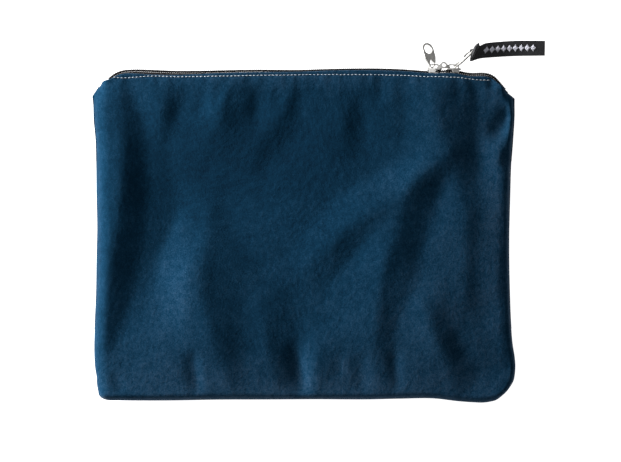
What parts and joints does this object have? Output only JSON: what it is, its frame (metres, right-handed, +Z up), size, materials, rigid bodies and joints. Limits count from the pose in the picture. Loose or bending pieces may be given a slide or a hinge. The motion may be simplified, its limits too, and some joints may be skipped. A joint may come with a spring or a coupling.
{
  "type": "zippered pouch",
  "caption": "Flat rectangular velvet pouch with a lining and a zipper along one long edge, closed by sliders that meet head to head, one of which carries a ribbon label.",
  "frame": {"origin": "centre of the back panel's flat resting face", "axes": "+X across the pouch, +Y towards the zipper, +Z up from the back panel to the front panel"},
  "size_m": [0.3428, 0.2723, 0.0166],
  "materials": {
    "velvet": "short velvet pile",
    "lining": "plain woven nylon",
    "zipper_tape": "woven polyester tape",
    "coil_nylon": "nylon filament",
    "nickel": "nickel-plated zinc, lightly brushed",
    "ribbon": "woven satin ribbon",
    "topstitch_thread": "polyester sewing thread",
    "seam_thread": "polyester sewing thread"
  },
  "bodies": {
    "back_half": {"back_panel": "velvet", "back_lining": "lining", "back_zipper_tape": "zipper_tape", "back_coil": "coil_nylon", "back_coil_cord": "zipper_tape", "back_coil_thread": "zipper_tape", "back_topstitch": "topstitch_thread", "left_seam_thread": "seam_thread", "right_seam_thread": "seam_thread", "bottom_seam_thread": "seam_thread"},
    "front_half": {"front_panel": "velvet", "front_lining": "lining", "front_zipper_tape": "zipper_tape", "front_coil": "coil_nylon", "front_coil_cord": "zipper_tape", "front_coil_thread": "zipper_tape", "front_topstitch": "topstitch_thread"},
    "left_slider": {"left_slider": "nickel"},
    "right_slider": {"right_slider": "nickel"},
    "left_pull": {"left_pull_tab": "nickel"},
    "right_pull": {"right_pull_tab": "nickel"},
    "label": {"label_ribbon": "ribbon", "label_stitching": "topstitch_thread"}
  },
  "joints": [
    {"name": "left_slider_slide", "type": "slide", "parent": "back_half", "child": "left_slider", "axis": [1, 0, 0], "range_m": [-0.22, 0], "deforming": ["front_zipper_tape", "front_coil", "front_coil_cord", "front_coil_thread", "back_zipper_tape", "back_coil", "back_coil_cord", "back_coil_thread"]},
    {"name": "right_slider_slide", "type": "slide", "parent": "back_half", "child": "right_slider", "axis": [1, 0, 0], "range_m": [0, 0.01]},
    {"name": "mouth_hinge", "type": "hinge", "parent": "back_half", "child": "front_half", "pos_m": [0, -0.1248, 0.008], "axis": [1, 0, 0], "range_deg": [0, 6.5]},
    {"name": "left_pull_swing", "type": "hinge", "parent": "left_slider", "child": "left_pull", "pos_m": [0.0974, 0.12685, 0.008], "axis": [0, 0, 1], "range_deg": [-11, 18]},
    {"name": "right_pull_swing", "type": "hinge", "parent": "right_slider", "child": "right_pull", "pos_m": [0.1142, 0.12685, 0.008], "axis": [0, 0, 1], "range_deg": [-20, 46]},
    {"name": "label_swing", "type": "hinge", "parent": "right_pull", "child": "label", "pos_m": [0.12726, 0.13924, 0.008], "axis": [0, 0, 1], "range_deg": [0, 50]}
  ],
  "couplings": [
    {"joint": "mouth_hinge", "follows": "left_slider_slide", "rad_per_m": -0.5155}
  ]
}
